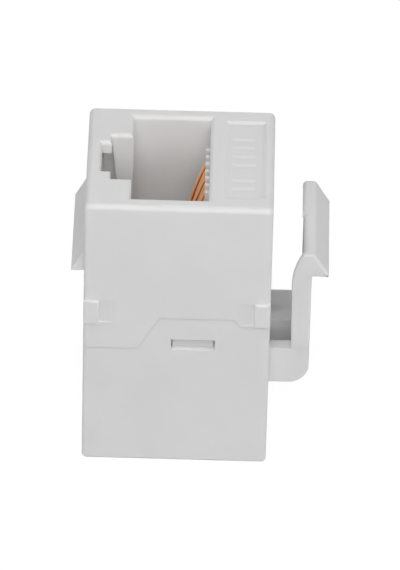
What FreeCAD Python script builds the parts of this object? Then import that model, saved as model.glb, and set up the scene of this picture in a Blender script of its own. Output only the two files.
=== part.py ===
import FreeCAD, Part
import math
import os
import re
import Sketcher

# Keystone coupler: two plug sockets back to back in a snap-together plastic body.
# Origin at the middle of the rear face, +Z to the front socket, +X to the flexing latch.

os.makedirs("parts", exist_ok=True)
doc = FreeCAD.newDocument("keystone_coupler")

# Driving dimensions, millimetres and degrees
SIZES = [
    ("plug_width", 11.8, "width of the plug well"),
    ("well_height", 6.62, "plug well from the tab side to the contact side"),
    ("well_depth", 11.2, "plug well from the face to its floor"),
    ("tab_width", 6.2, "channel for the plug's tab"),
    ("tab_reach", 1.8, "depth of the tab channel beside the well"),
    ("neck_width", 4.0, "notch in the lip for the tab's neck"),
    ("neck_reach", 2.65, "depth of the notch beside the well"),
    ("shoulder_width", 8.4, "hollow behind the lip that takes the tab's shoulders"),
    ("shoulder_depth", 8.2, "that hollow from the face to its floor"),
    ("shoulder_slant", 0.86, "that hollow wider at its floor than under the lip"),
    ("lip", 1.2, "wall of the front and rear faces"),
    ("mouth_round", 0.4, "rounding of the socket's mouth"),
    ("side_wall", 1.35, "wall beside the plug well"),
    ("catch_wall", 1.2, "wall outside the tab notch"),
    ("latch_wall", 1.7, "wall outside the contact chamber"),
    ("chamber_reach", 3.83, "contact chamber beside the well"),
    ("seat_ledge", 0.5, "step between the well and the narrower seat of its floor"),
    ("body_round", 0.5, "rounding of the body's upright corners and front edges"),
    ("foot_round", 0.25, "rounding of the body's rear edges"),
    ("board_thickness", 1.2, "circuit board"),
    ("base_thickness", 1.8, "contact base, the floor of a plug well"),
    ("fit_gap", 0.05, "clearance between seated pieces"),
    ("seam_gap", 0.01, "open line between the two housings"),
    ("catch_seam_drop", 1.5, "seam below mid-length on the catch side"),
    ("latch_seam_rise", 1.0, "seam above mid-length on the latch side"),
    ("collar_rise", 1.8, "top of the raised collar above mid-length"),
    ("collar_wall", 0.8, "wall of the raised collar"),
    ("ramp_foot", -3.3, "where the seam starts to climb"),
    ("ramp_head", -1.45, "where the seam reaches the collar's top"),
    ("shoulder_head", 4.9, "where the seam leaves the collar's top"),
    ("shoulder_foot", 5.6, "where the seam levels out again"),
    ("window_left", -0.45, "snap window, catch side"),
    ("window_right", 3.3, "snap window, latch side"),
    ("window_height", 1.1, "snap window above the catch seam"),
    ("snap_gap", 0.1, "clearance of the snap wedge under its window's edge and behind the face"),
    ("snap_side", 0.14, "window beside the snap wedge"),
    ("snap_foot", 0.35, "thin end of the snap wedge"),
    ("snap_height", 0.95, "length of the snap wedge's ramp"),
    ("lug_width", 1.35, "panel stop lug along the face"),
    ("lug_height", 2.25, "panel stop lug along the body"),
    ("lug_rise", 0.28, "panel stop lug above the face"),
    ("lug_set", 10.05, "front face to the lug's near end"),
    ("lug_round", 0.25, "rounding of the lug's outer edges"),
    ("scoop_width", 1.4, "hollow beside a stop lug"),
    ("scoop_depth", 0.2, "deepest point of that hollow"),
    ("recess_width", 11.2, "marking recess across the front face"),
    ("recess_left", 1.33, "well edge to the recess"),
    ("recess_margin", 0.7, "recess to the latch side of the face"),
    ("recess_depth", 0.18, "marking recess"),
    ("recess_slope", 60, "angle of the recess's walls to the way in"),
    ("clip_width", 10.9, "fixed catch and latch across the body"),
    ("catch_set", 8.18, "front face to the catch's shoulder"),
    ("catch_reach", 1.13, "catch out of the body"),
    ("catch_ramp", 2.13, "length of the catch's ramp"),
    ("hook_set", 8.27, "front face to the hook's shoulder"),
    ("latch_gap", 1.85, "body to the latch arm"),
    ("arm_thickness", 1.6, "latch arm"),
    ("arm_length", 7.78, "latch arm from its root to the hook"),
    ("arm_taper", 0.09, "arm thicker at the hook than at its root"),
    ("hook_reach", 1.45, "hook out of the arm"),
    ("hook_rise", 2.32, "hook's shoulder to the latch's tip"),
    ("hook_flat", 0.2, "blunt edge of the hook"),
    ("tip_thickness", 0.97, "flat of the latch's tip"),
    ("tip_lean", 0.84, "inner face at the tip, out from the arm's root"),
    ("tip_curve", 7.24, "radius of the curved inner face under the tip"),
    ("curve_drop", 1.23, "hook's shoulder to the foot of that curve"),
    ("arm_cheek", 0.5, "front edge of the arm that keeps the full thickness"),
    ("tip_lip", 0.14, "lip in from the strip, along the far half of the latch's tip"),
    ("lip_height", 0.5, "that lip down from the tip"),
    ("lip_start", 0.6, "near end of that lip past the middle"),
    ("tip_round", 0.42, "rounding of the latch's tip"),
    ("clip_round", 0.12, "rounding of the latch's side edges"),
    ("root_height", 3.63, "latch root along the body"),
    ("root_round", 1.8, "outer bend of the latch root"),
    ("root_drop", 1.85, "deeper floor in one half of the latch gap"),
    ("core_depth", 2.3, "hollow in the other half of that floor"),
    ("core_front", 1.22, "floor in front of that hollow"),
    ("core_rib", 1.37, "floor between that hollow and the deeper half"),
    ("contact_count", 8, "contacts in a socket"),
    ("contact_pitch", 1.02, "contact spacing"),
    ("wire", 0.42, "contact wire"),
    ("wire_gap", 0.02, "contact wire off the nose that it bends round"),
    ("slot_width", 0.6, "slot for a contact wire"),
    ("tooth_proud", 0.36, "comb teeth past the edge of the lip"),
    ("tooth_height", 4.2, "comb teeth below the lip"),
    ("tooth_ramp", 1.2, "slant under the comb teeth"),
    ("wall_set", 0.33, "well edge to the comb's wall"),
    ("nose_round", 0.45, "nose that the wires bend round"),
    ("nose_drop", 1.3, "lip to the centre of the nose"),
    ("leg_room", 0.1, "slot past the wire's upright leg"),
    ("spring_lean", 25.2, "angle of a contact spring to the plug's way in, where it leaves the nose"),
    ("outer_lean", 23, "the same for the contacts of the outer row"),
    ("spring_bow", 25, "radius that a contact spring is bowed to"),
    ("tip_clear", 0.6, "spring's free end above the well's floor"),
    ("row_spacing", 1.18, "the two rows of solder tails"),
    ("jog_height", 0.83, "bend of a front-row tail above the board"),
    ("jog_round", 0.3, "bend radius of that tail"),
    ("foot_room", 0.35, "slot past the outer row of tails"),
    ("foot_height", 1.6, "slot round the tails"),
    ("tail", 0.4, "solder tail past the board"),
    ("tail_gap", 0.1, "clearance of a tail in its hole"),
]

sheet = doc.addObject("Spreadsheet::Sheet", "Sizes")
for row, (alias, value, meaning) in enumerate(SIZES, 1):
    sheet.set("A%d" % row, meaning)
    sheet.set("B%d" % row, str(value))
    sheet.setAlias("B%d" % row, alias)
doc.recompute()

# Places worked out from the driving dimensions, measured in the body's frame
HALF_WIDTH = "((catch_wall + neck_reach + well_height + chamber_reach + latch_wall) / 2)"
HALF_DEPTH = "(plug_width / 2 + side_wall)"
LENGTH = "(2 * (well_depth + base_thickness) + board_thickness)"
MIDDLE = "(well_depth + base_thickness + board_thickness / 2)"
BOARD_TOP = "(well_depth + base_thickness + board_thickness)"
FLOOR = "(well_depth + 2 * base_thickness + board_thickness)"
LIP_UNDERSIDE = f"({LENGTH} - lip)"

WELL_LOW = f"(catch_wall + neck_reach - {HALF_WIDTH})"
WELL_HIGH = f"({WELL_LOW} + well_height)"
CHAMBER_HIGH = f"({WELL_HIGH} + chamber_reach)"
SEAT_HALF = "(plug_width / 2 - seat_ledge)"
TAB_LOW = f"({WELL_LOW} - tab_reach)"
NECK_LOW = f"({WELL_LOW} - neck_reach)"

CATCH_SEAM = f"({MIDDLE} - catch_seam_drop)"
LATCH_SEAM = f"({MIDDLE} + latch_seam_rise)"
COLLAR_TOP = f"({MIDDLE} + collar_rise)"
SKIRT_HALF_WIDTH = f"({HALF_WIDTH} - collar_wall - fit_gap)"
SKIRT_HALF_DEPTH = f"({HALF_DEPTH} - collar_wall - fit_gap)"

CATCH_LOW = f"({LENGTH} - catch_set)"
HOOK_LOW = f"({LENGTH} - hook_set)"
ROOT_TOP = f"({HOOK_LOW} - arm_length)"
ARM_IN = f"({HALF_WIDTH} + latch_gap)"
ARM_OUT = f"({ARM_IN} + arm_thickness)"
TIP_IN = f"({ARM_IN} + tip_lean)"

NOSE_X = f"({WELL_HIGH} + wall_set + nose_round)"
NOSE_Z = f"({LIP_UNDERSIDE} - nose_drop)"
WIRE_BEND = "(nose_round + wire_gap + wire / 2)"
LEG_X = f"({NOSE_X} + {WIRE_BEND})"
ROW_X = f"({LEG_X} + row_spacing)"
TAIL_END = "(well_depth + base_thickness - tail)"
FIRST_CONTACT = "(-(contact_count - 1) / 2 * contact_pitch)"


def formula(text):
    """An expression on the sheet: each alias in the text becomes a reference to its cell."""
    aliases = "|".join(alias for alias, value, meaning in SIZES)
    return re.sub(r"\b(%s)\b" % aliases, r"Sizes.\1", text)


def number(text):
    """The present value of such an expression."""
    return float(sheet.evalExpression(formula(text)))


def bind(feature, **expressions):
    """Tie properties of a feature to expressions on the sheet."""
    for name, text in expressions.items():
        feature.setExpression(name, formula(text))


def new_body(label, turned=False):
    """An empty body; a turned one is half a turn about X, so that it serves the rear socket."""
    body = doc.addObject("PartDesign::Body", label)
    body.Label = label
    if turned:
        body.Placement.Rotation = FreeCAD.Rotation(FreeCAD.Vector(1, 0, 0), 180)
        body.setExpression("Placement.Base.z", formula(LENGTH))
    return body


def new_sketch(body, role, height="0"):
    """A sketch on one of the body's origin planes, shifted along the plane's normal."""
    plane = next(item for item in body.Origin.OriginFeatures if item.Role == role)
    sketch = body.newObject("Sketcher::SketchObject", body.Label + "_sketch")
    sketch.AttachmentSupport = [(plane, "")]
    sketch.MapMode = "FlatFace"
    sketch.setExpression("AttachmentOffset.Base.z", formula(height))
    return sketch


def arc_between(start, end, radius):
    """The short arc of a signed radius: positive bends to the left of the way from start to end."""
    chord = end - start
    left = FreeCAD.Vector(-chord.y, chord.x, 0).normalize()
    rise = abs(radius) - math.sqrt(radius ** 2 - chord.Length ** 2 / 4)
    outward = left * (-rise if radius > 0 else rise)
    return Part.Arc(start, (start + end) / 2 + outward, end)


def draw(sketch, corners, arcs=None, closed=True):
    """Lines, or arcs of a given radius, through corners that are expressions on the sheet."""
    arcs = arcs or {}
    points = [FreeCAD.Vector(number(x), number(y), 0) for x, y in corners]
    sides = len(points) if closed else len(points) - 1
    first = sketch.GeometryCount
    ends = []
    for side in range(sides):
        start, end = points[side], points[(side + 1) % len(points)]
        sign, radius = arcs.get(side, (0, ""))
        # a sketch keeps each arc anticlockwise, so one that bends to the right has its ends swapped
        ends.append((2, 1) if sign < 0 else (1, 2))
        if sign:
            sketch.addGeometry(arc_between(start, end, sign * number(radius)), False)
            index = sketch.addConstraint(Sketcher.Constraint("Radius", first + side, number(radius)))
            sketch.setExpression("Constraints[%d]" % index, formula(radius))
        else:
            sketch.addGeometry(Part.LineSegment(start, end), False)
    for corner, (x, y) in enumerate(corners):
        side = min(corner, sides - 1)
        end_of = ends[side][corner - side]
        for kind, text in (("DistanceX", x), ("DistanceY", y)):
            constraint = Sketcher.Constraint(kind, -1, 1, first + side, end_of, number(text))
            index = sketch.addConstraint(constraint)
            sketch.setExpression("Constraints[%d]" % index, formula(text))
    for side in range(sides if closed else sides - 1):
        after = (side + 1) % sides
        join = Sketcher.Constraint("Coincident", first + side, ends[side][1], first + after, ends[after][0])
        sketch.addConstraint(join)


def rectangle(sketch, low_x, high_x, low_y, high_y):
    """A rectangle between two pairs of expressions."""
    draw(sketch, [(low_x, low_y), (high_x, low_y), (high_x, high_y), (low_x, high_y)])


def circle(sketch, x, y, diameter):
    """A circle placed and sized by expressions."""
    place = FreeCAD.Vector(number(x), number(y), 0)
    ring = sketch.addGeometry(Part.Circle(place, FreeCAD.Vector(0, 0, 1), number(diameter) / 2), False)
    for kind, text in (("DistanceX", x), ("DistanceY", y)):
        index = sketch.addConstraint(Sketcher.Constraint(kind, -1, 1, ring, 3, number(text)))
        sketch.setExpression("Constraints[%d]" % index, formula(text))
    index = sketch.addConstraint(Sketcher.Constraint("Diameter", ring, number(diameter)))
    sketch.setExpression("Constraints[%d]" % index, formula(diameter))


def pad(body, sketch, length, symmetric=False):
    """Material along the sketch's normal, or to both sides of its plane."""
    feature = body.newObject("PartDesign::Pad", body.Label + "_pad")
    feature.Profile = sketch
    feature.SideType = "Symmetric" if symmetric else "One side"
    bind(feature, Length=length)
    doc.recompute()
    return feature


def pocket(body, sketch, depth, along_normal=False, symmetric=False):
    """A cut against the sketch's normal, along it, or to both sides of its plane."""
    before = body.Shape.Volume
    feature = body.newObject("PartDesign::Pocket", body.Label + "_pocket")
    feature.Profile = sketch
    feature.SideType = "Symmetric" if symmetric else "One side"
    feature.Reversed = along_normal
    bind(feature, Length=depth)
    doc.recompute()
    if body.Shape.Volume >= before:
        raise RuntimeError(feature.Label + " cuts nothing")
    return feature


def row(body, feature, count, pitch):
    """Copies of a cut along +Y at an even pitch."""
    axis = next(item for item in body.Origin.OriginFeatures if item.Role == "Y_Axis")
    pattern = body.newObject("PartDesign::LinearPattern", body.Label + "_row")
    pattern.Originals = [feature]
    pattern.Direction = (axis, [""])
    bind(pattern, Occurrences=count, Length=f"({count} - 1) * {pitch}")
    body.Tip = pattern
    doc.recompute()


def round_edges(body, radius, chosen):
    """A fillet on those edges of the body whose bounding box the test accepts."""
    base = body.Tip
    names = ["Edge%d" % i for i, edge in enumerate(base.Shape.Edges, 1) if chosen(edge.BoundBox)]
    feature = body.newObject("PartDesign::Fillet", body.Label + "_fillet")
    feature.Base = (base, names)
    bind(feature, Radius=radius)
    doc.recompute()


TOUCH = 1e-4


def near(value, text):
    """Whether a coordinate is at the place that the expression gives."""
    return abs(value - number(text)) < TOUCH


def round_outside(body, end_face, end_round):
    """Round a housing's four upright corners, then the edges of its end face."""

    def corner(box):
        at_corner = near(abs(box.Center.x), HALF_WIDTH) and near(abs(box.Center.y), HALF_DEPTH)
        return at_corner and box.ZLength > number("body_round")

    def rim(box):
        return box.ZLength < TOUCH and near(box.ZMin, end_face)

    round_edges(body, "body_round", corner)
    round_edges(body, end_round, rim)


def cut_socket(body, face, inwards):
    """The plug's way in from one face: the mouth, the well with the comb's chamber, the tab's hollow."""
    upwards = inwards == "+"
    half_plug, half_tab, half_neck = "plug_width / 2", "tab_width / 2", "neck_width / 2"
    mouth = new_sketch(body, "XY_Plane", face)
    draw(mouth, [
        (WELL_LOW, f"-{half_plug}"), (WELL_HIGH, f"-{half_plug}"),
        (WELL_HIGH, half_plug), (WELL_LOW, half_plug),
        (WELL_LOW, half_tab), (TAB_LOW, half_tab), (TAB_LOW, half_neck), (NECK_LOW, half_neck),
        (NECK_LOW, f"-{half_neck}"), (TAB_LOW, f"-{half_neck}"),
        (TAB_LOW, f"-{half_tab}"), (WELL_LOW, f"-{half_tab}"),
    ])
    pocket(body, mouth, "lip", upwards)
    well = new_sketch(body, "XY_Plane", f"{face} {inwards} lip")
    draw(well, [
        (WELL_LOW, f"-{half_plug}"), (CHAMBER_HIGH, f"-{half_plug}"),
        (CHAMBER_HIGH, half_plug), (WELL_LOW, half_plug),
        (WELL_LOW, half_tab), (TAB_LOW, half_tab), (TAB_LOW, f"-{half_tab}"), (WELL_LOW, f"-{half_tab}"),
    ])
    pocket(body, well, "well_depth - lip", upwards)
    shoulders = new_sketch(body, "XZ_Plane")
    draw(shoulders, [
        (NECK_LOW, f"{face} {inwards} lip"), (TAB_LOW, f"{face} {inwards} lip"),
        (f"{TAB_LOW} + shoulder_slant", f"{face} {inwards} shoulder_depth"),
        (NECK_LOW, f"{face} {inwards} shoulder_depth"),
    ])
    pocket(body, shoulders, "shoulder_width", symmetric=True)
    seat = new_sketch(body, "XY_Plane", f"{face} {inwards} well_depth")
    rectangle(seat, WELL_LOW, CHAMBER_HIGH, f"-{SEAT_HALF}", SEAT_HALF)
    pocket(body, seat, LENGTH, upwards)

    def rim(box):
        inside = box.XMin > number(NECK_LOW) - TOUCH and box.XMax < number(WELL_HIGH) + TOUCH
        return inside and box.ZLength < TOUCH and near(box.ZMin, face)

    round_edges(body, "mouth_round", rim)


def seam_line(lift):
    """The line where the two housings meet, from the catch side to the latch side."""
    return [
        (f"-{HALF_WIDTH}", f"{CATCH_SEAM} + {lift}"), ("ramp_foot", f"{CATCH_SEAM} + {lift}"),
        ("ramp_head", f"{COLLAR_TOP} + {lift}"), ("shoulder_head", f"{COLLAR_TOP} + {lift}"),
        ("shoulder_foot", f"{LATCH_SEAM} + {lift}"), (HALF_WIDTH, f"{LATCH_SEAM} + {lift}"),
    ]


# Front housing: a moulding with the front socket, the fixed catch and the stop lugs.
# Its skirt stands inside the rear housing's collar and carries a snap wedge on each side.
front = new_body("front_housing")
block = new_sketch(front, "XZ_Plane")
draw(block, seam_line("seam_gap") + [(HALF_WIDTH, LENGTH), (f"-{HALF_WIDTH}", LENGTH)])
pad(front, block, f"2 * {HALF_DEPTH}", symmetric=True)
round_outside(front, LENGTH, "body_round")

skirt = new_sketch(front, "XY_Plane", CATCH_SEAM)
rectangle(skirt, f"{WELL_LOW} - side_wall", SKIRT_HALF_WIDTH, f"-{SKIRT_HALF_DEPTH}", SKIRT_HALF_DEPTH)
pad(front, skirt, f"{FLOOR} - {CATCH_SEAM}")

catch = new_sketch(front, "XZ_Plane")
draw(catch, [
    (f"catch_wall - {HALF_WIDTH}", CATCH_LOW), (f"catch_wall - {HALF_WIDTH}", f"{CATCH_LOW} + catch_ramp"),
    (f"-{HALF_WIDTH}", f"{CATCH_LOW} + catch_ramp"), (f"-{HALF_WIDTH} - catch_reach", CATCH_LOW),
])
pad(front, catch, "clip_width", symmetric=True)

LUG_HIGH = f"({LENGTH} - lug_set)"
LUG_LOW = f"({LUG_HIGH} - lug_height)"
lugs = new_sketch(front, "XZ_Plane")
rectangle(lugs, f"-{HALF_WIDTH}", f"lug_width - {HALF_WIDTH}", LUG_LOW, LUG_HIGH)
rectangle(lugs, f"{HALF_WIDTH} - lug_width", HALF_WIDTH, LUG_LOW, LUG_HIGH)
pad(front, lugs, f"2 * ({HALF_DEPTH} + lug_rise)", symmetric=True)


def lug_edge(box):
    """The outer upright edges of the four stop lugs."""
    return near(abs(box.Center.y), f"{HALF_DEPTH} + lug_rise") and box.ZLength > number("lug_rise")


round_edges(front, "lug_round", lug_edge)

wedges = new_sketch(front, "YZ_Plane", "window_left + snap_side")
SNAP_TOP = f"({CATCH_SEAM} + window_height - snap_gap)"
for side in ("", "-"):
    draw(wedges, [
        (f"{side}({SKIRT_HALF_DEPTH} - fit_gap)", f"{SNAP_TOP} - snap_height"),
        (f"{side}({SKIRT_HALF_DEPTH} + snap_foot)", f"{SNAP_TOP} - snap_height"),
        (f"{side}({HALF_DEPTH} - snap_gap)", SNAP_TOP),
        (f"{side}({SKIRT_HALF_DEPTH} - fit_gap)", SNAP_TOP),
    ])
pad(front, wedges, "window_right - window_left - 2 * snap_side")

scoops = new_sketch(front, "XY_Plane", LUG_LOW)
LUG_INSIDE = f"({HALF_WIDTH} - lug_width)"
for across in ("", "-"):
    for side in ("", "-"):
        draw(scoops, [
            (f"{across}{LUG_INSIDE}", f"{side}{HALF_DEPTH}"),
            (f"{across}{LUG_INSIDE}", f"{side}({HALF_DEPTH} - scoop_depth)"),
            (f"{across}({LUG_INSIDE} - scoop_width)", f"{side}{HALF_DEPTH}"),
        ])
pocket(front, scoops, "lug_height", along_normal=True)

cut_socket(front, LENGTH, "-")
recess = new_sketch(front, "XY_Plane", LENGTH)
RECESS_RIGHT = f"({HALF_WIDTH} - recess_margin)"
rectangle(recess, f"{WELL_HIGH} + recess_left", RECESS_RIGHT, "-recess_width / 2", "recess_width / 2")
bind(pocket(front, recess, "recess_depth"), TaperAngle="-recess_slope")
doc.recompute()

# Rear housing: a moulding with the rear socket, the raised collar with its snap windows,
# and the solid root that the latch arm grows out of.
rear = new_body("rear_housing")
block = new_sketch(rear, "XZ_Plane")
draw(block, seam_line("0") + [(HALF_WIDTH, "0"), (f"-{HALF_WIDTH}", "0")])
pad(rear, block, f"2 * {HALF_DEPTH}", symmetric=True)
round_outside(rear, "0", "foot_round")

root = new_sketch(rear, "XZ_Plane")
ROOT_LOW = f"({ROOT_TOP} - root_height)"
draw(root, [
    (f"{HALF_WIDTH} - latch_wall / 2", ROOT_LOW), (f"{ARM_OUT} - root_round", ROOT_LOW),
    (ARM_OUT, f"{ROOT_LOW} + root_round"), (ARM_OUT, ROOT_TOP),
    (f"{HALF_WIDTH} - latch_wall / 2", ROOT_TOP),
], {1: (1, "root_round")})
pad(rear, root, "clip_width", symmetric=True)


def root_edge(box):
    """The root's edges in its two side planes, clear of the body and of the arm."""
    at_side = near(abs(box.Center.y), "clip_width / 2") and box.YLength < TOUCH
    return at_side and box.ZMin < number(ROOT_TOP) - TOUCH


round_edges(rear, "clip_round", root_edge)

deeper = new_sketch(rear, "XY_Plane", ROOT_TOP)
rectangle(deeper, HALF_WIDTH, TIP_IN, "0", "clip_width")
pocket(rear, deeper, "root_drop")
core = new_sketch(rear, "XY_Plane", ROOT_TOP)
rectangle(core, HALF_WIDTH, TIP_IN, "core_front - clip_width / 2", "-core_rib")
pocket(rear, core, "core_depth")

cut_socket(rear, "0", "+")
collar = new_sketch(rear, "XY_Plane", CATCH_SEAM)
rectangle(collar, f"-2 * {HALF_WIDTH}", f"{HALF_WIDTH} - collar_wall",
          f"collar_wall - {HALF_DEPTH}", f"{HALF_DEPTH} - collar_wall")
pocket(rear, collar, LENGTH, along_normal=True)
window = new_sketch(rear, "XZ_Plane")
rectangle(window, "window_left", "window_right", CATCH_SEAM, f"{CATCH_SEAM} + window_height")
pocket(rear, window, f"4 * {HALF_DEPTH}", symmetric=True)

# Release latch: the springy arm with the hook that grips the panel.
# It bends at its root, where it is one moulding with the rear housing. Behind a cheek at its
# front edge the arm is a thin strip, so that it can bend.
latch = new_body("release_latch")
arm = new_sketch(latch, "XZ_Plane")
HOOK_OUT = f"({ARM_OUT} + hook_reach)"
TIP_TOP = f"({HOOK_LOW} + hook_rise)"
draw(arm, [
    (ARM_IN, ROOT_TOP), (ARM_OUT, ROOT_TOP), (ARM_OUT, HOOK_LOW), (HOOK_OUT, HOOK_LOW),
    (HOOK_OUT, f"{HOOK_LOW} + hook_flat"), (f"{TIP_IN} + tip_thickness", TIP_TOP), (TIP_IN, TIP_TOP),
    (f"{ARM_IN} - arm_taper", f"{HOOK_LOW} - curve_drop"),
], {6: (1, "tip_curve")})
pad(latch, arm, "clip_width", symmetric=True)


def tip_edge(box):
    """The two long edges of the latch's tip."""
    return box.YLength > number("arm_cheek") and near(box.ZMin, TIP_TOP)


def arm_edge(box):
    """The arm's and the hook's edges in the two side planes, without the root's line."""
    return near(abs(box.Center.y), "clip_width / 2") and box.ZMax > number(ROOT_TOP) + TOUCH


round_edges(latch, "tip_round", tip_edge)
LIP_IN = f"({TIP_IN} - tip_lip)"
LIP_LOW = f"({TIP_TOP} - lip_height)"
relief = new_sketch(latch, "XZ_Plane", "clip_width / 2 - arm_cheek")
draw(relief, [
    (HALF_WIDTH, ROOT_TOP), (TIP_IN, ROOT_TOP), (TIP_IN, f"{LIP_LOW} - tip_lip"), (LIP_IN, LIP_LOW),
    (LIP_IN, f"{TIP_TOP} - tip_round"), (f"{LIP_IN} + tip_round", TIP_TOP), (HALF_WIDTH, TIP_TOP),
], {4: (-1, "tip_round")})
pocket(latch, relief, "clip_width")
near_tip = new_sketch(latch, "XZ_Plane", "clip_width / 2 - arm_cheek")
draw(near_tip, [
    (HALF_WIDTH, f"{LIP_LOW} - tip_lip"), (TIP_IN, f"{LIP_LOW} - tip_lip"), (TIP_IN, f"{TIP_TOP} - tip_round"),
    (f"{TIP_IN} + tip_round", TIP_TOP), (HALF_WIDTH, TIP_TOP),
], {2: (-1, "tip_round")})
pocket(latch, near_tip, "clip_width / 2 - arm_cheek + lip_start")
round_edges(latch, "clip_round", arm_edge)

# Circuit board: joins the two sets of contacts; two staggered rows of plated holes take the tails.
board = new_body("circuit_board")
sheet_outline = new_sketch(board, "XY_Plane", "well_depth + base_thickness")
rectangle(sheet_outline, f"{WELL_LOW} + fit_gap", f"{CHAMBER_HIGH} - fit_gap",
          f"fit_gap - {SEAT_HALF}", f"{SEAT_HALF} - fit_gap")
pad(board, sheet_outline, "board_thickness")
holes = new_sketch(board, "XY_Plane", BOARD_TOP)
for place in (LEG_X, ROW_X):
    circle(holes, place, FIRST_CONTACT, "wire + 2 * tail_gap")
pair = pocket(board, holes, "board_thickness")
row(board, pair, "contact_count", "contact_pitch")


# Contact bases and combs: the bases floor the plug wells and hold the solder tails over the board.
# The combs stand on them beside the wells; the wires lie in their slots and bend over a rounded nose.
COMB_WALL = f"({WELL_HIGH} + wall_set)"
COMB_OUT = f"({CHAMBER_HIGH} - fit_gap)"
COMB_TOP = f"({LIP_UNDERSIDE} - fit_gap)"
TOOTH_TIP = f"({WELL_HIGH} - tooth_proud)"
TOOTH_LOW = f"({LIP_UNDERSIDE} - tooth_height)"
TOOTH_FOOT = f"({TOOTH_LOW} - tooth_ramp)"


def wire_slots(body):
    """The row of slots for the wires, from the foot of the base to the open top of the comb."""
    leg_low = f"({LEG_X} - wire / 2 - wire_gap)"
    leg_high = f"({LEG_X} + wire / 2 + leg_room)"
    foot_high = f"({ROW_X} + foot_room)"
    slot = new_sketch(body, "XZ_Plane", f"-{FIRST_CONTACT}")
    draw(slot, [
        (f"{TOOTH_TIP} - wall_set", TOOTH_FOOT), (COMB_WALL, TOOTH_FOOT),
        (COMB_WALL, NOSE_Z), (NOSE_X, f"{NOSE_Z} + nose_round"), (leg_low, NOSE_Z),
        (leg_low, f"{BOARD_TOP} - lip"), (foot_high, f"{BOARD_TOP} - lip"),
        (foot_high, f"{BOARD_TOP} + foot_height"), (leg_high, f"{BOARD_TOP} + foot_height"),
        (leg_high, LENGTH), (f"{TOOTH_TIP} - wall_set", LENGTH),
    ], {2: (-1, "nose_round"), 3: (-1, "nose_round")})
    first = pocket(body, slot, "slot_width", symmetric=True)
    row(body, first, "contact_count", "contact_pitch")


def contact_base(label, turned):
    """One base, drawn for the front socket."""
    body = new_body(label, turned)
    slab = new_sketch(body, "XY_Plane", BOARD_TOP)
    rectangle(slab, f"{WELL_LOW} + fit_gap", COMB_OUT, f"fit_gap - {SEAT_HALF}", f"{SEAT_HALF} - fit_gap")
    pad(body, slab, "base_thickness")
    wire_slots(body)


def contact_comb(label, turned):
    """One comb, drawn for the front socket; its teeth keep the springs apart."""
    body = new_body(label, turned)
    upright = new_sketch(body, "XZ_Plane")
    rectangle(upright, COMB_WALL, COMB_OUT, FLOOR, COMB_TOP)
    pad(body, upright, "plug_width - 2 * fit_gap", symmetric=True)
    teeth = new_sketch(body, "XZ_Plane")
    draw(teeth, [
        (f"{COMB_WALL} + nose_round", COMB_TOP), (TOOTH_TIP, COMB_TOP), (TOOTH_TIP, TOOTH_LOW),
        (COMB_WALL, TOOTH_FOOT), (f"{COMB_WALL} + nose_round", TOOTH_FOOT),
    ])
    pad(body, teeth, "(contact_count - 1) * contact_pitch - slot_width / 2", symmetric=True)
    wire_slots(body)


contact_base("front_contact_base", turned=False)
contact_comb("front_contact_comb", turned=False)
contact_base("rear_contact_base", turned=True)
contact_comb("rear_contact_comb", turned=True)


# Contacts: springy gilt wires, soldered into the board, up the comb's slot, over the nose
# and back down into the well, where the plug presses them aside.
def contact(label, place, outer_row, turned):
    """One wire; the outer row of tails jogs out past the inner one just above the board."""
    body = new_body(label, turned)
    body.setExpression("Placement.Base.y", formula(place))
    lean = "outer_lean * 1 deg" if outer_row else "spring_lean * 1 deg"
    bend_x = f"({NOSE_X} - {WIRE_BEND} * cos({lean}))"
    bend_z = f"({NOSE_Z} + {WIRE_BEND} * sin({lean}))"
    free_z = f"({FLOOR} + tip_clear)"
    free_sin = f"(sin({lean}) - ({bend_z} - {free_z}) / spring_bow)"
    free_x = f"({bend_x} + spring_bow * (cos({lean}) - sqrt(1 - {free_sin} ^ 2)))"
    jog = f"({BOARD_TOP} + jog_height)"
    tail_x = ROW_X if outer_row else LEG_X
    corners = [(tail_x, TAIL_END)]
    arcs = {}
    if outer_row:
        corners += [
            (ROW_X, f"{jog} - jog_round"), (f"{ROW_X} - jog_round", jog),
            (f"{LEG_X} + jog_round", jog), (LEG_X, f"{jog} + jog_round"),
        ]
        arcs = {1: (1, "jog_round"), 3: (-1, "jog_round")}
    arcs[len(corners)] = (1, WIRE_BEND)
    arcs[len(corners) + 1] = (1, "spring_bow")
    corners += [(LEG_X, NOSE_Z), (bend_x, bend_z), (free_x, free_z)]
    path = new_sketch(body, "XZ_Plane")
    draw(path, corners, arcs, closed=False)
    section = new_sketch(body, "XY_Plane", TAIL_END)
    circle(section, tail_x, "0", "wire")
    doc.recompute()
    pipe = body.newObject("PartDesign::AdditivePipe", label + "_pipe")
    pipe.Profile = section
    pipe.Spine = (path, ["Edge%d" % i for i in range(1, len(corners))])
    doc.recompute()


for i in range(int(number("contact_count"))):
    at = f"{FIRST_CONTACT} + {i} * contact_pitch"
    contact("front_contact_%d" % (i + 1), at, outer_row=i % 2 == 0, turned=False)
    contact("rear_contact_%d" % (i + 1), f"-({at})", outer_row=i % 2 == 0, turned=True)

doc.recompute()
bodies = [item for item in doc.Objects if item.TypeId == "PartDesign::Body"]
for item in doc.Objects:
    if "Invalid" in item.State or "Error" in item.State:
        raise RuntimeError(item.Label + " failed")
for body in bodies:
    if body.Shape.isNull() or not body.Shape.isValid() or len(body.Shape.Solids) != 1:
        raise RuntimeError(body.Label + " is not one valid solid")
for body in bodies:
    body.Shape.exportStep("parts/%s.step" % body.Label)
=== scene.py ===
import bpy
import math
import numpy as np
from mathutils import Matrix, Vector


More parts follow.
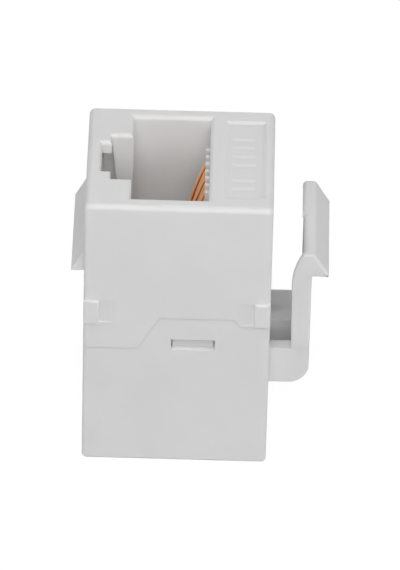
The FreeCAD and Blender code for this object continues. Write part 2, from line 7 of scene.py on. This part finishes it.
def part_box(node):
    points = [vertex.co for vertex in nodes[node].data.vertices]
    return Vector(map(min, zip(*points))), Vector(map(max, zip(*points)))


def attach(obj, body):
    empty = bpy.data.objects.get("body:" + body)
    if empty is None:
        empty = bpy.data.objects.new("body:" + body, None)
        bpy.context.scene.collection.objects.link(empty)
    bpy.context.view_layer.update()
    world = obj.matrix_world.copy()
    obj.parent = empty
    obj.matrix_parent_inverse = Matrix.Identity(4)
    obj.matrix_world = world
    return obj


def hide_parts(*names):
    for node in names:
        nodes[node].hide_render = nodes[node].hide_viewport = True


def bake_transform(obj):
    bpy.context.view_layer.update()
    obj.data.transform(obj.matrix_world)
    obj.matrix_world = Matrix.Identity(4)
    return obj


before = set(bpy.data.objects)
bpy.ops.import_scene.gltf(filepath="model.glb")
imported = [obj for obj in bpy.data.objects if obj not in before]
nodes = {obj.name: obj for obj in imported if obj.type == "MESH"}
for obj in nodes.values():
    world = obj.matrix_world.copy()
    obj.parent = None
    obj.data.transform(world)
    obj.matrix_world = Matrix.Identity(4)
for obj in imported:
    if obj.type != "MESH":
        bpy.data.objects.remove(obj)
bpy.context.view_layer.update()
MM = 0.001

# Rear housing: the lower half of the body, a white-grey moulding with the raised collar,
# the snap windows and the root of the latch. Injection moulded in one piece from a tough
# plastic whose surface is finely spark-textured by the mould.


def add_node(tree, kind, **inputs):
    """A node with values set on its own input sockets, by socket name."""
    node = tree.nodes.new(kind)
    for name, value in inputs.items():
        node.inputs[name.replace("_", " ")].default_value = value
    return node


def noise(tree, places, scale, detail):
    """A cloud of values around a half, with scale counted in clouds per metre of the piece."""
    cloud = add_node(tree, "ShaderNodeTexNoise", Scale=scale, Detail=detail, Roughness=0.55)
    tree.links.new(places.outputs["Object"], cloud.inputs["Vector"])
    return cloud.outputs["Fac"]


def spread(tree, value, low, high):
    """The middle range of a noise, carried over to the span from low to high."""
    span = add_node(tree, "ShaderNodeMapRange", From_Min=0.3, From_Max=0.7, To_Min=low, To_Max=high)
    tree.links.new(value, span.inputs["Value"])
    return span.outputs["Result"]


def mixed_colour(tree, value, dark, light):
    """A colour between two, chosen by the middle range of a noise."""
    ramp = tree.nodes.new("ShaderNodeValToRGB")
    ramp.color_ramp.elements[0].position = 0.3
    ramp.color_ramp.elements[0].color = (*dark, 1)
    ramp.color_ramp.elements[1].position = 0.7
    ramp.color_ramp.elements[1].color = (*light, 1)
    tree.links.new(value, ramp.inputs["Fac"])
    return ramp.outputs["Color"]


def grain(tree, value, shader, depth):
    """Relief of the given depth in metres on the shader's normal."""
    bump = add_node(tree, "ShaderNodeBump", Strength=1.0, Distance=depth)
    tree.links.new(value, bump.inputs["Height"])
    tree.links.new(bump.outputs["Normal"], shader.inputs["Normal"])


def new_material(name):
    """An empty node material: its tree, its shader and its object coordinates."""
    material = bpy.data.materials.new(name)
    material.use_nodes = True
    tree = material.node_tree
    shader = tree.nodes["Principled BSDF"]
    places = tree.nodes.new("ShaderNodeTexCoord")
    return material, tree, shader, places


def moulded_plastic(name, tone, texture_depth, light_depth):
    """Textured moulded plastic: faint clouding, uneven sheen and a fine spark-eroded grain.
    Light enters it to the given depth, which softens creases and thin edges."""
    material, tree, shader, places = new_material(name)
    clouding = noise(tree, places, 140, 3)
    dark = [0.975 * c for c in tone]
    light = [1.02 * c for c in tone]
    tree.links.new(mixed_colour(tree, clouding, dark, light), shader.inputs["Base Color"])
    sheen = noise(tree, places, 900, 2)
    tree.links.new(spread(tree, sheen, 0.58, 0.7), shader.inputs["Roughness"])
    grain(tree, noise(tree, places, 7000, 4), shader, texture_depth)
    shader.inputs["IOR"].default_value = 1.5
    if light_depth > 0:
        shader.inputs["Subsurface Weight"].default_value = 0.35
        shader.inputs["Subsurface Radius"].default_value = (1.0, 1.0, 1.0)
        shader.inputs["Subsurface Scale"].default_value = light_depth
    return material


def finish_node(name, material):
    """Give a construction piece its finish."""
    mesh = nodes[name].data
    mesh.materials.clear()
    mesh.materials.append(material)


HOUSING_TONE = (0.8, 0.8, 0.8)
HOUSING_GRAIN = 4e-6
LIGHT_DEPTH = 0.5 * MM
housing_plastic = moulded_plastic("housing_plastic", HOUSING_TONE, HOUSING_GRAIN, LIGHT_DEPTH)
finish_node("rear_housing", housing_plastic)

# Release latch: the springy arm with the panel hook, moulded in one with the rear housing.
# It is one swept surface here, standing on its root and turned at the hook, with softened edges.
# Behind a cheek at its front edge the arm is a thin strip, with a small lip along half of the tip.


def closed_outline(corners, radii, steps):
    """Straight runs between corners joined by tangent arcs: an arc of radius r at a corner of
    half angle a starts r / tan(a) before it. The run after each corner is divided into its number
    of steps, so that outlines with as many corners match point for point."""
    corners = np.asarray(corners, float)
    to_last = np.roll(corners, 1, axis=0) - corners
    to_next = np.roll(corners, -1, axis=0) - corners
    to_last /= np.linalg.norm(to_last, axis=1, keepdims=True)
    to_next /= np.linalg.norm(to_next, axis=1, keepdims=True)
    half = np.arccos(np.clip((to_last * to_next).sum(1), -1, 1)) / 2
    bends = []
    for corner, last, following, a, r in zip(corners, to_last, to_next, half, radii):
        if r == 0:
            bends.append(corner[None])
            continue
        middle = (last + following) / np.linalg.norm(last + following)
        centre = corner + middle * r / math.sin(a)
        swing = np.linspace(-1, 1, 9)[:, None] * (math.pi / 2 - a)
        start = corner + last * r / math.tan(a) - centre
        across = start + (start @ middle) * -middle
        across /= np.linalg.norm(across)
        bends.append(centre - middle * r * np.cos(swing) - across * r * np.sin(swing))
    line = []
    for bend, following, count in zip(bends, bends[1:] + bends[:1], steps):
        share = np.arange(1, count)[:, None] / count
        line += [bend, bend[-1] + share * (following[0] - bend[-1])]
    return np.concatenate(line)


def inward_normals(outline):
    """Unit normals of a closed anticlockwise outline, pointing into the material."""
    tangent = np.roll(outline, -1, axis=0) - np.roll(outline, 1, axis=0)
    tangent /= np.linalg.norm(tangent, axis=1, keepdims=True)
    return np.stack([-tangent[:, 1], tangent[:, 0]], axis=1)


def mesh_object(name, points, faces, material, smooth_angle):
    """A new piece at the origin, shaded smooth except over edges sharper than the angle."""
    mesh = bpy.data.meshes.new(name)
    mesh.from_pydata(points.tolist(), [], faces)
    mesh.materials.append(material)
    mesh.shade_smooth()
    mesh.set_sharp_from_angle(angle=math.radians(smooth_angle))
    piece = bpy.data.objects.new(name, mesh)
    bpy.context.scene.collection.objects.link(piece)
    return piece


def grid_faces(rows, columns, closed=True):
    """Quads of a grid of points, row by row, with its columns closed into a ring."""
    across = columns if closed else columns - 1
    r, c = np.meshgrid(np.arange(rows - 1), np.arange(across), indexing="ij")
    n = (c + 1) % columns
    low, high = r * columns, (r + 1) * columns
    quads = np.stack([low + c, low + n, high + n, high + c], axis=-1)
    return quads.reshape(-1, 4).tolist()


def latch_surface(name, sections, starts, blend, y_low, y_high, edge, floor, material):
    """An XZ outline carried along Y that passes from section to section: P(s, y) is the first
    section plus k * (next - last) for each later one, with k = 3t^2 - 2t^3 and t = (y - start) / blend
    held between 0 and 1. Towards each end it shrinks by edge * (1 - cos a) while y moves by
    edge * sin a, so that the side edges are quarter rounds; points on the floor line keep their
    height, where the arm grows out of its root."""
    turn = np.linspace(0, math.pi / 2, 6)
    inset = edge * (1 - np.cos(turn))
    steps = np.linspace(0, 1, 7)
    changes = [start + blend * steps for start in starts]
    ends = edge * (1 - np.sin(turn))
    y = np.concatenate([y_low + ends[::-1], *changes, y_high - ends])
    inset = np.concatenate([inset[::-1], np.zeros(steps.size * len(starts)), inset])
    shape = sections[0][None]
    normals = inward_normals(sections[0])[None]
    for last, following, start in zip(sections, sections[1:], starts):
        t = np.clip((y - start) / blend, 0, 1)[:, None, None]
        k = 3 * t ** 2 - 2 * t ** 3
        shape = shape + k * (following - last)
        normals = normals + k * (inward_normals(following) - inward_normals(last))
    shape = shape + inset[:, None, None] * normals
    shape[:, :, 1] = np.where(sections[0][:, 1] <= floor + 1e-7, floor, shape[:, :, 1])
    rows, columns = shape.shape[:2]
    across = np.broadcast_to(y[:, None], (rows, columns))
    points = np.stack([shape[:, :, 0], across, shape[:, :, 1]], axis=-1)
    faces = grid_faces(rows, columns)
    faces.append(list(range(columns))[::-1])
    faces.append(list(range((rows - 1) * columns, rows * columns)))
    return mesh_object(name, points.reshape(-1, 3), faces, material, 40)


latch_low, latch_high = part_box("release_latch")
root_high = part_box("rear_housing")[1]
ARM_THICKNESS = 1.6 * MM
ARM_TAPER = 0.09 * MM
HOOK_RISE = 2.32 * MM
HOOK_FLAT = 0.2 * MM
TIP_LEAN = 0.84 * MM
TIP_THICKNESS = 0.97 * MM
TIP_CURVE = 7.24 * MM
TIP_ROUND = 0.42 * MM
CURVE_DROP = 1.23 * MM
ARM_CHEEK = 0.5 * MM
TIP_LIP = 0.14 * MM
LIP_HEIGHT = 0.5 * MM
LIP_START = 0.6 * MM
HOOK_CORNER = 0.12 * MM
HOOK_EDGE = 0.06 * MM
HOOK_BROW = 0.08 * MM
SECTION_BLEND = 0.12 * MM
SIDE_ROUND = 0.2 * MM
arm_out = root_high.x
arm_in = arm_out - ARM_THICKNESS
tip_in = arm_in + TIP_LEAN
tip_out = tip_in + TIP_THICKNESS
floor_z, tip_z = latch_low.z, latch_high.z
hook_low = tip_z - HOOK_RISE
curve_foot = np.array([arm_in - ARM_TAPER, hook_low - CURVE_DROP])
curve_head = np.array([tip_in, tip_z])
chord = curve_head - curve_foot
reach = math.sqrt(TIP_CURVE ** 2 - (chord @ chord) / 4)
chord_normal = np.array([chord[1], -chord[0]])
curve_centre = (curve_head + curve_foot) / 2 + reach * chord_normal / np.linalg.norm(chord)
foot_angle, head_angle = (
    math.atan2(*(end - curve_centre)[::-1]) % (2 * math.pi) for end in (curve_foot, curve_head)
)
sweep = np.linspace(head_angle, foot_angle, 14)[2:]
inner_face = curve_centre + TIP_CURVE * np.stack([np.cos(sweep), np.sin(sweep)], axis=1)
outside = [
    (arm_out, floor_z), (arm_out, hook_low), (latch_high.x, hook_low),
    (latch_high.x, hook_low + HOOK_FLAT), (tip_out, tip_z),
]
corner_radii = [0, 0, HOOK_CORNER, HOOK_EDGE, HOOK_BROW, TIP_ROUND, TIP_ROUND] + [0] * len(inner_face)
run_steps = [4, 20, 4, 1, 8, 2, 2] + [1] * (len(inner_face) - 1) + [18]
sections = [closed_outline(
    [(arm_in, floor_z), *outside, (tip_in, tip_z), *map(tuple, inner_face)], corner_radii, run_steps)]
for lip in (0, TIP_LIP):
    strip_face = np.stack([np.full(len(inner_face), tip_in), inner_face[:, 1]], axis=1)
    strip_face[:2] = (tip_in - lip, tip_z - LIP_HEIGHT), (tip_in, tip_z - LIP_HEIGHT - TIP_LIP)
    strip_corners = [(tip_in, floor_z), *outside, (tip_in - lip, tip_z), *map(tuple, strip_face)]
    sections.append(closed_outline(strip_corners, corner_radii, run_steps))
latch = latch_surface("latch_arm", sections, (latch_low.y + ARM_CHEEK, LIP_START), SECTION_BLEND,
                      latch_low.y, latch_high.y, SIDE_ROUND, floor_z, housing_plastic)
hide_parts("release_latch")
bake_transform(latch)

# Front housing: the upper half of the body, of the same moulded plastic, with the front socket,
# the fixed catch and the stop lugs. Its marking recess holds a row of plain raised bars, polished
# smoother than the grain round them and coloured a little lighter as a painted highlight.
finish_node("front_housing", housing_plastic)
front_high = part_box("front_housing")[1]


def raised_bars(name, places, half_length, half_width, rise, root, base, material):
    """Soft low bars along X with round ends. At turn u and share q of the half width a bar's point
    is q * half_width * (cos u, sin u) from the nearer end of its axis, and its height above the
    root, which lies below the base, is (rise + root) * (1 - q^2)^2."""
    u = np.linspace(0, 2 * math.pi, 24, endpoint=False) + math.pi / 24
    q, u = np.meshgrid(np.linspace(1, 0.1, 9), u, indexing="ij")
    x = half_length * np.sign(np.cos(u)) + q * half_width * np.cos(u)
    y = q * half_width * np.sin(u)
    z = base + (rise + root) * (1 - q ** 2) ** 2 - root
    bar = np.stack([x, y, z], -1).reshape(-1, 3)
    rows, columns = u.shape
    ring = grid_faces(rows, columns) + [list(range((rows - 1) * columns, rows * columns))]
    ring += [list(range(columns))[::-1]]
    points = np.concatenate([bar + (px, py, 0) for px, py in places])
    faces = [[i + k * len(bar) for i in face] for k in range(len(places)) for face in ring]
    return mesh_object(name, points, faces, material, 60)


RECESS_DEPTH = 0.18 * MM
RECESS_MIDDLE = 5.4 * MM
BAR_HALF_LENGTH = 0.72 * MM
BAR_HALF_WIDTH = 0.42 * MM
BAR_RISE = 0.05 * MM
BAR_ROOT = 0.01 * MM
BAR_GRAIN = 1e-6
bar_places = [(RECESS_MIDDLE, y * MM) for y in (3.2, 2.05, 0.7, -0.5, -2.75, -3.9)]
# The bars take the housing tone made 4% lighter, a painted highlight that makes them read as bright
# strokes.
bar_plastic_painted_highlight = moulded_plastic("polished_bars_painted_highlight", [1.04 * c for c in HOUSING_TONE], BAR_GRAIN, 0)
bars = raised_bars("recess_bars", bar_places, BAR_HALF_LENGTH, BAR_HALF_WIDTH, BAR_RISE, BAR_ROOT,
                   front_high.z - RECESS_DEPTH, bar_plastic_painted_highlight)
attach(bars, "housing")

# Contact bases and combs: mouldings of natural white plastic, pushed into the housings before
# they are snapped together. The combs' teeth keep the contact springs apart.
COMB_TONE = (0.82, 0.82, 0.82)
COMB_GRAIN = 3e-6
comb_plastic = moulded_plastic("comb_plastic", COMB_TONE, COMB_GRAIN, LIGHT_DEPTH)
for block in ("front_contact_base", "front_contact_comb", "rear_contact_base", "rear_contact_comb"):
    finish_node(block, comb_plastic)

# Contacts: springy wires of copper alloy, bent to shape and soldered into the board. Each is one
# smooth round tube from its solder tail over the nose to its free end. The side that touches the
# plug has a thin gilt coat, and the flanks, which face the neighbouring wires, are coloured a dark
# red-brown as painted shade between the wires.


def gilt_wire_flank_shade(name, flank_shade, gilt):
    """Metal that is gilt on its contact side and coloured dark on its flanks as painted shade between
    neighbouring wires, with a slightly uneven polish.
    """
    material, tree, shader, places = new_material(name)
    side = tree.nodes.new("ShaderNodeAttribute")
    side.attribute_name = "gilt_vs_flank_shade"
    tree.links.new(mixed_colour(tree, side.outputs["Fac"], flank_shade, gilt), shader.inputs["Base Color"])
    tree.links.new(spread(tree, noise(tree, places, 600, 1), 0.26, 0.34), shader.inputs["Roughness"])
    shader.inputs["Metallic"].default_value = 0.05
    return material


def bend_points(centre, radius, start, end):
    """Points of a bend about a centre, from one angle in degrees to another."""
    angle = np.radians(np.linspace(start, end, 13))
    return np.asarray(centre) + radius * np.stack([np.cos(angle), np.sin(angle)], axis=1)


def wire_line(foot, leg, tail, board_side, outer_row):
    """A contact's centre line in its XZ plane, from its tail up the leg, over the nose and down a
    bow of radius R from the lean a to its end, where sin(end) = sin(a) - drop / R."""
    lean = OUTER_LEAN if outer_row else SPRING_LEAN
    nose = np.array([leg - NOSE_BEND, board_side + NOSE_HEIGHT])
    over = bend_points(nose, NOSE_BEND, 0, 180 - lean)
    a = math.radians(lean)
    drop = over[-1, 1] - board_side - TIP_HEIGHT
    end = math.degrees(math.asin(math.sin(a) - drop / SPRING_BOW))
    bow_centre = over[-1] + SPRING_BOW * np.array([math.cos(a), -math.sin(a)])
    bow = bend_points(bow_centre, SPRING_BOW, 180 - lean, 180 - end)
    jog = board_side + JOG_HEIGHT
    out = bend_points((tail - JOG_ROUND, jog - JOG_ROUND), JOG_ROUND, 0, 90)
    up = bend_points((leg + JOG_ROUND, jog + JOG_ROUND), JOG_ROUND, 270, 180)
    line = [[(tail, foot)], out, up] if outer_row else [[(leg, foot)]]
    return np.vstack(line + [over, bow[1:]])


def round_tube(name, line, radius, y, turned, material):
    """A round wire along an XZ line: P(s, a) = line(s) + r(s) * (cos a * n(s) + sin a * y), with n
    the line's normal and r(s) = radius * sqrt(1 - (1 - d / radius)^2) within a radius d of its ends.
    Its contact side, out of the bend, is where the attribute GILT_REACH - cos a nears 1; elsewhere, on
    the flanks and the inner side, the wire takes the painted shade tone."""
    way = np.concatenate([[0], np.linalg.norm(np.diff(line, axis=0), axis=1).cumsum()])
    dome = radius * (1 - np.cos(np.linspace(0.15, math.pi / 2, 6)))
    stops = np.unique(np.concatenate([dome, way[1:-1], way[-1] - dome]))
    centre = np.stack([np.interp(stops, way, line[:, axis]) for axis in (0, 1)], axis=1)
    along = np.gradient(centre, stops, axis=0)
    along /= np.linalg.norm(along, axis=1, keepdims=True)
    depth = np.minimum(np.minimum(stops, way[-1] - stops) / radius, 1)
    r = radius * np.sqrt(1 - (1 - depth) ** 2)
    a = np.linspace(0, 2 * math.pi, 20, endpoint=False)
    x = centre[:, :1] - np.outer(r * along[:, 1], np.cos(a))
    z = centre[:, 1:] + np.outer(r * along[:, 0], np.cos(a))
    across = y + np.outer(r, np.sin(a))
    points = np.stack([x, across, front_high.z - z if turned else z], -1)
    # Near 1 on the gilt side; on the flanks and the inner side it falls towards 0, where the wire takes
    # the painted shade tone.
    side = np.broadcast_to(GILT_REACH - np.cos(a), x.shape)
    if turned:
        points, side = points[:, ::-1], side[:, ::-1]
    rows, columns = x.shape
    faces = grid_faces(rows, columns) + [list(range(columns))[::-1]]
    faces.append(list(range((rows - 1) * columns, rows * columns)))
    tube = mesh_object(name, points.reshape(-1, 3), faces, material, 50)
    tube.data.attributes.new("gilt_vs_flank_shade", "FLOAT", "POINT").data.foreach_set("value", side.ravel())
    return tube


WIRE = 0.42 * MM
SPRING_LEAN = 25.2
OUTER_LEAN = 23
SPRING_BOW = 25 * MM
NOSE_BEND = 0.68 * MM
NOSE_HEIGHT = 10.5 * MM
TIP_HEIGHT = 2.4 * MM
JOG_HEIGHT = 0.83 * MM
JOG_ROUND = 0.3 * MM
ROW_SPACING = 1.18 * MM
LEG = 3.93 * MM
GILT_REACH = 0.2
# The flank tone is a dark red-brown, painted shade between the neighbouring wires; the gilt tone is the
# coat's own colour.
FLANK_SHADE_TONE = (0.64, 0.12, 0.01)
GILT_TONE = (1.0, 0.56, 0.28)
contact_metal = gilt_wire_flank_shade("gilt_wire_flank_shade", FLANK_SHADE_TONE, GILT_TONE)
board_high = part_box("circuit_board")[1]
for end_name in ("front", "rear"):
    for number in range(1, 9):
        node = "%s_contact_%d" % (end_name, number)
        wire_low, wire_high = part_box(node)
        turned = end_name == "rear"
        foot = front_high.z - wire_high.z if turned else wire_low.z
        line = wire_line(foot, LEG, LEG + ROW_SPACING, board_high.z, number % 2 == 1)
        across = (wire_low.y + wire_high.y) / 2
        wire = round_tube(node + "_wire", line, WIRE / 2, across, turned, contact_metal)
        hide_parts(node)
        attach(wire, "housing")

# Circuit board: glass-fibre laminate under green solder mask, held between the two contact bases.
# The cloth of the laminate shows faintly through the mask.


def masked_laminate(name, tone):
    """Green mask over a woven cloth: crossed waves of the weave tint and raise the surface."""
    material, tree, shader, places = new_material(name)
    weave = add_node(tree, "ShaderNodeTexWave", Scale=900, Distortion=0.6, Detail=1)
    tree.links.new(places.outputs["Object"], weave.inputs["Vector"])
    dark = [0.8 * c for c in tone]
    tree.links.new(mixed_colour(tree, weave.outputs["Fac"], dark, tone), shader.inputs["Base Color"])
    grain(tree, weave.outputs["Fac"], shader, 3e-6)
    shader.inputs["Roughness"].default_value = 0.35
    return material


MASK_TONE = (0.02, 0.16, 0.06)
finish_node("circuit_board", masked_laminate("board_mask", MASK_TONE))

# Stage: a pale floor in a bright studio. Soft boxes stand in front at three heights, at both sides
# and behind.


def seen_directly(tree):
    """1 for rays that show a surface to the camera, a reflection or through glass, and 0 for others."""
    rays = tree.nodes.new("ShaderNodeLightPath")
    total = rays.outputs["Is Camera Ray"]
    for ray in ("Is Glossy Ray", "Is Transmission Ray"):
        either = tree.nodes.new("ShaderNodeMath")
        either.operation = "MAXIMUM"
        tree.links.new(total, either.inputs[0])
        tree.links.new(rays.outputs[ray], either.inputs[1])
        total = either.outputs[0]
    return total


def between(tree, value, low, high):
    """A value of 0 to 1 carried over to the span from low to high."""
    span = add_node(tree, "ShaderNodeMapRange", To_Min=low, To_Max=high)
    tree.links.new(value, span.inputs["Value"])
    return span.outputs["Result"]


def pale_floor(name):
    """White floor that looks white to the camera and in reflections, and still takes a shadow."""
    material = bpy.data.materials.new(name)
    material.use_nodes = True
    tree = material.node_tree
    tree.nodes.clear()
    output = tree.nodes.new("ShaderNodeOutputMaterial")
    matt = add_node(tree, "ShaderNodeBsdfDiffuse", Color=(FLOOR_TONE, FLOOR_TONE, FLOOR_TONE, 1))
    white = add_node(tree, "ShaderNodeEmission", Strength=FLOOR_WHITE)
    mix = tree.nodes.new("ShaderNodeMixShader")
    tree.links.new(between(tree, seen_directly(tree), 0, FLOOR_GLOW), mix.inputs["Fac"])
    tree.links.new(matt.outputs[0], mix.inputs[1])
    tree.links.new(white.outputs[0], mix.inputs[2])
    tree.links.new(mix.outputs[0], output.inputs["Surface"])
    return material


FLOOR_HALF = 2.0
FLOOR_GLOW = 0.7
FLOOR_WHITE = 1.3
FLOOR_TONE = 0.5
FLOOR_GAP = 0.02 * MM
corners = np.array([(-1, -1, 0), (1, -1, 0), (1, 1, 0), (-1, 1, 0)]) * FLOOR_HALF
corners = corners - (0, 0, FLOOR_GAP)
floor = mesh_object("floor", corners, [[0, 1, 2, 3]], pale_floor("floor_white"), 30)

scene = bpy.context.scene
scene.view_settings.view_transform = "Standard"
STUDIO_LEVEL = 0.03
world = bpy.data.worlds.new("studio")
world.use_nodes = True
sky = world.node_tree.nodes["Background"]
sky.inputs["Color"].default_value = (1, 1, 1, 1)
sky_level = between(world.node_tree, seen_directly(world.node_tree), STUDIO_LEVEL, 1)
world.node_tree.links.new(sky_level, sky.inputs["Strength"])
scene.world = world


def soft_light(name, azimuth, elevation, watts):
    """A square soft box that faces the object, placed by its angles in degrees from the front."""
    a, e = math.radians(azimuth), math.radians(elevation)
    way = Vector((math.sin(a) * math.cos(e), -math.cos(a) * math.cos(e), math.sin(e)))
    place = LAMP_DISTANCE * way
    lamp = bpy.data.lights.new(name, "AREA")
    lamp.size = LAMP_SIZE
    lamp.energy = watts
    holder = bpy.data.objects.new(name, lamp)
    holder.location = place
    holder.rotation_euler = place.to_track_quat("Z", "Y").to_euler()
    scene.collection.objects.link(holder)


LAMP_DISTANCE = 0.4
LAMP_SIZE = 0.25
soft_light("front_box", 0, 35, 0.53)
soft_light("low_box", 0, 15, 0.14)
soft_light("high_box", 0, 58, 0.4)
soft_light("left_box", -80, 33, 0.42)
soft_light("right_box", 80, 30, 0.53)
soft_light("back_box", 180, 20, 0.4)

# Camera: a long lens looking down on the front of the body, as in the photograph. Its turn, roll
# and distance are those at which the body's edges fall where the photograph has them.
CAMERA_ELEVATION = 37.023
CAMERA_YAW = 0.483
CAMERA_ROLL = 1.287
CAMERA_DISTANCE = 603.61 * MM
AIM_ASIDE = 1.888 * MM
FOCAL_PIXELS = 6979.3
IMAGE_WIDTH = 400
elevation, yaw, roll = (math.radians(a) for a in (CAMERA_ELEVATION, CAMERA_YAW, CAMERA_ROLL))
level = math.cos(elevation)
back = Vector((math.sin(yaw) * level, -math.cos(yaw) * level, math.sin(elevation)))
right = Vector((math.cos(yaw), math.sin(yaw), 0))
up = back.cross(right)
right, up = (right * math.cos(roll) + up * math.sin(roll),
             up * math.cos(roll) - right * math.sin(roll))
middle = Vector((0, 0, front_high.z / 2))
eye = middle + back * CAMERA_DISTANCE
away = (eye - middle - right * AIM_ASIDE).normalized()
side = up.cross(away).normalized()
turn = Matrix((side, away.cross(side), away)).transposed()
lens = bpy.data.cameras.new("camera")
lens.sensor_fit = "HORIZONTAL"
lens.sensor_width = 36
lens.lens = FOCAL_PIXELS * lens.sensor_width / IMAGE_WIDTH
lens.clip_start = 0.05
camera = bpy.data.objects.new("camera", lens)
camera.matrix_world = Matrix.Translation(eye) @ turn.to_4x4()
scene.collection.objects.link(camera)
scene.camera = camera
